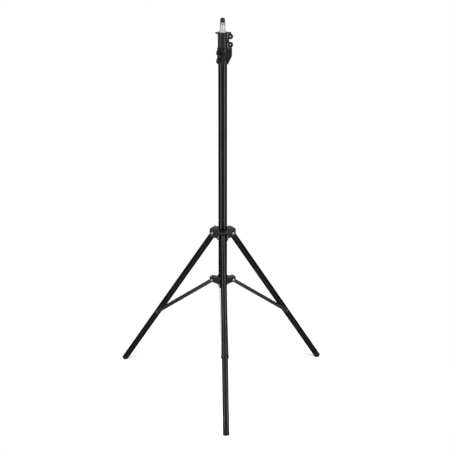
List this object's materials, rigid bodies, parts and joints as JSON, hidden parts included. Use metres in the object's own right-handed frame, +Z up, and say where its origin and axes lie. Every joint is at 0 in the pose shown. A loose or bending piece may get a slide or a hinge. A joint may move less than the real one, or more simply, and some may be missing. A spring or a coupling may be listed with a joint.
{
  "type": "telescopic lighting stand",
  "caption": "Black telescopic lighting stand on a folding tripod base with braced legs, clamp collars with wing screws, and a 16 mm spigot at the top.",
  "frame": {"origin": "on the floor, on the axis of the column", "axes": "+Z up along the column; -Y points along leg 1, the front leg; +X is to the right of it"},
  "size_m": [0.6166, 0.5365, 1.1165],
  "materials": {
    "black_tube": "satin black anodised aluminium tube",
    "black_strap": "satin black enamelled steel strip",
    "moulded_black": "fine-grained black moulding",
    "bearing_plastic": "natural nylon",
    "bright_steel": "bright zinc-plated steel",
    "dark_steel": "blackened steel",
    "spigot_metal": "fine turned, light grey",
    "rubber_cap": "matte black rubber",
    "rubber_foot": "matte black rubber"
  },
  "bodies": {
    "column": {"column_tube": "black_tube", "column_plug": "moulded_black", "lower_collar": "moulded_black", "lower_brake_pad": "bearing_plastic", "lower_collar_rivet": "bright_steel", "brace_collar": "moulded_black", "brace_collar_rivet": "bright_steel", "brace_pin_1": "bright_steel", "brace_pin_2": "bright_steel", "brace_pin_3": "bright_steel"},
    "middle_section": {"middle_tube": "black_tube", "middle_tube_bush": "bearing_plastic", "upper_collar": "moulded_black", "upper_brake_pad": "bearing_plastic", "upper_collar_rivet": "bright_steel"},
    "top_section": {"top_tube": "black_tube", "top_tube_bush": "bearing_plastic", "spigot": "spigot_metal", "spigot_pin": "bright_steel"},
    "cap": {"spigot_cap": "rubber_cap"},
    "lower_screw": {"lower_clamp_stud": "bright_steel", "lower_wing_handle": "moulded_black"},
    "upper_screw": {"upper_clamp_stud": "bright_steel", "upper_wing_handle": "moulded_black"},
    "hub": {"leg_hub": "moulded_black", "hub_brake_pad": "bearing_plastic", "hub_rivets_1": "bright_steel", "hub_rivets_2": "bright_steel", "hub_rivets_3": "bright_steel"},
    "hub_screw": {"hub_clamp_stud": "bright_steel", "hub_knob": "moulded_black"},
    "brace_1": {"brace_1_left_strap": "black_strap", "brace_1_right_strap": "black_strap", "leg_rivet_1": "dark_steel"},
    "leg_1": {"leg_1_tube": "black_tube", "leg_1_plug": "moulded_black", "leg_1_foot": "rubber_foot"},
    "brace_2": {"brace_2_left_strap": "black_strap", "brace_2_right_strap": "black_strap", "leg_rivet_2": "dark_steel"},
    "leg_2": {"leg_2_tube": "black_tube", "leg_2_plug": "moulded_black", "leg_2_foot": "rubber_foot"},
    "brace_3": {"brace_3_left_strap": "black_strap", "brace_3_right_strap": "black_strap", "leg_rivet_3": "dark_steel"},
    "leg_3": {"leg_3_tube": "black_tube", "leg_3_plug": "moulded_black", "leg_3_foot": "rubber_foot"}
  },
  "joints": [
    {"name": "hub_slide", "type": "slide", "parent": "column", "child": "hub", "axis": [0, 0, 1], "range_m": [0, 0.43947]},
    {"name": "middle_slide", "type": "slide", "parent": "column", "child": "middle_section", "axis": [0, 0, 1], "range_m": [0, 0.55]},
    {"name": "top_slide", "type": "slide", "parent": "middle_section", "child": "top_section", "axis": [0, 0, 1], "range_m": [0, 0.58]},
    {"name": "cap_slide", "type": "slide", "parent": "top_section", "child": "cap", "axis": [0, 0, 1], "range_m": [0, 0.02]},
    {"name": "lower_screw_turn", "type": "hinge", "parent": "column", "child": "lower_screw", "pos_m": [0, 0, 1.00978], "axis": [-0.5446, -0.8387, 0], "range_deg": [0, 360]},
    {"name": "upper_screw_turn", "type": "hinge", "parent": "middle_section", "child": "upper_screw", "pos_m": [0, 0, 1.05128], "axis": [1, 0, 0], "range_deg": [0, 360]},
    {"name": "hub_screw_turn", "type": "hinge", "parent": "hub", "child": "hub_screw", "pos_m": [0, 0, 0.4762], "axis": [0, 1, 0], "range_deg": [0, 360]},
    {"name": "brace_1_fold", "type": "hinge", "parent": "column", "child": "brace_1", "pos_m": [0, -0.0315, 0.32778], "axis": [-1, 0, 0], "range_deg": [0, 126.43]},
    {"name": "leg_1_fold", "type": "hinge", "parent": "brace_1", "child": "leg_1", "pos_m": [0, -0.2236, 0.18626], "axis": [-1, 0, 0], "range_deg": [-159.88, 0]},
    {"name": "brace_2_fold", "type": "hinge", "parent": "column", "child": "brace_2", "pos_m": [0.02728, 0.01575, 0.32778], "axis": [0.5, -0.866, 0], "range_deg": [0, 126.43]},
    {"name": "leg_2_fold", "type": "hinge", "parent": "brace_2", "child": "leg_2", "pos_m": [0.19364, 0.1118, 0.18626], "axis": [0.5, -0.866, 0], "range_deg": [-159.88, 0]},
    {"name": "brace_3_fold", "type": "hinge", "parent": "column", "child": "brace_3", "pos_m": [-0.02728, 0.01575, 0.32778], "axis": [0.5, 0.866, 0], "range_deg": [0, 126.43]},
    {"name": "leg_3_fold", "type": "hinge", "parent": "brace_3", "child": "leg_3", "pos_m": [-0.19364, 0.1118, 0.18626], "axis": [0.5, 0.866, 0], "range_deg": [-159.88, 0]}
  ],
  "couplings": [
    {"joint": "brace_1_fold", "follows": "hub_slide", "rad_per_m": 5.0191},
    {"joint": "leg_1_fold", "follows": "hub_slide", "rad_per_m": -6.3476},
    {"joint": "brace_2_fold", "follows": "hub_slide", "rad_per_m": 5.0191},
    {"joint": "leg_2_fold", "follows": "hub_slide", "rad_per_m": -6.3476},
    {"joint": "brace_3_fold", "follows": "hub_slide", "rad_per_m": 5.0191},
    {"joint": "leg_3_fold", "follows": "hub_slide", "rad_per_m": -6.3476}
  ]
}
